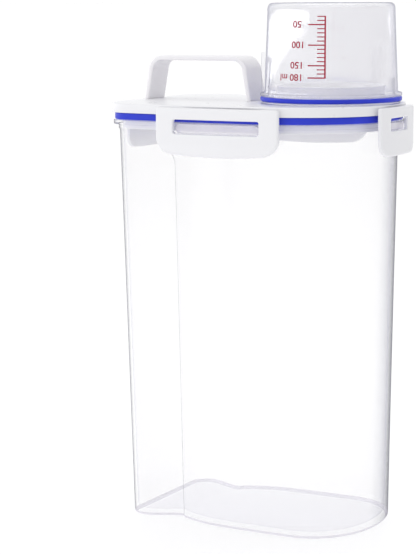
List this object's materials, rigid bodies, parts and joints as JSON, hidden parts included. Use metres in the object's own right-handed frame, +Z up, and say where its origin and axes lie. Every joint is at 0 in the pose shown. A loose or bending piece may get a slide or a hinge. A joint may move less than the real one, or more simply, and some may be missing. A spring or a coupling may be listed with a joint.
{
  "type": "airtight pet food bin",
  "caption": "Clear airtight dry-food bin with a white latching lid, strap carry handle, pour spout and a clear measuring cup as the spout's cap.",
  "frame": {"origin": "on the resting surface, under the middle of the object's box", "axes": "+Z up, +X from the handle end to the spout end, -Y is the front with a wide latch"},
  "size_m": [0.1644, 0.1224, 0.2956],
  "materials": {
    "clear_plastic": "clear moulded styrene plastic, glossy, faint lavender tint at the edges",
    "white_plastic": "satin white moulded plastic",
    "latch_plastic": "satin white moulded plastic",
    "handle_plastic": "satin white moulded plastic",
    "blue_silicone": "smooth deep blue silicone rubber",
    "cup_plastic": "clear moulded plastic, slightly frosted"
  },
  "bodies": {
    "container": {"container_body": "clear_plastic"},
    "lid": {"lid_shell": "white_plastic", "lid_gasket": "blue_silicone", "carry_handle": "handle_plastic", "spout_insert": "cup_plastic", "cup_seal_ring": "blue_silicone"},
    "front_latch": {"latch_front": "latch_plastic"},
    "back_latch": {"latch_back": "latch_plastic"},
    "left_latch": {"latch_left": "latch_plastic"},
    "right_latch": {"latch_right": "latch_plastic"},
    "cup": {"measuring_cup": "cup_plastic"}
  },
  "joints": [
    {"name": "lid_lift", "type": "slide", "parent": "container", "child": "lid", "axis": [0, 0, 1], "range_m": [0, 0.06]},
    {"name": "front_latch_hinge", "type": "hinge", "parent": "lid", "child": "front_latch", "pos_m": [-0.0021, -0.0588, 0.238], "axis": [-1, 0, 0], "range_deg": [0, 105]},
    {"name": "back_latch_hinge", "type": "hinge", "parent": "lid", "child": "back_latch", "pos_m": [-0.0021, 0.0588, 0.238], "axis": [1, 0, 0], "range_deg": [0, 105]},
    {"name": "left_latch_hinge", "type": "hinge", "parent": "lid", "child": "left_latch", "pos_m": [-0.0798, 0, 0.238], "axis": [0, 1, 0], "range_deg": [0, 105]},
    {"name": "right_latch_hinge", "type": "hinge", "parent": "lid", "child": "right_latch", "pos_m": [0.0798, 0, 0.238], "axis": [0, -1, 0], "range_deg": [0, 105]},
    {"name": "cup_lift", "type": "slide", "parent": "lid", "child": "cup", "axis": [0, 0, 1], "range_m": [0, 0.06]}
  ]
}
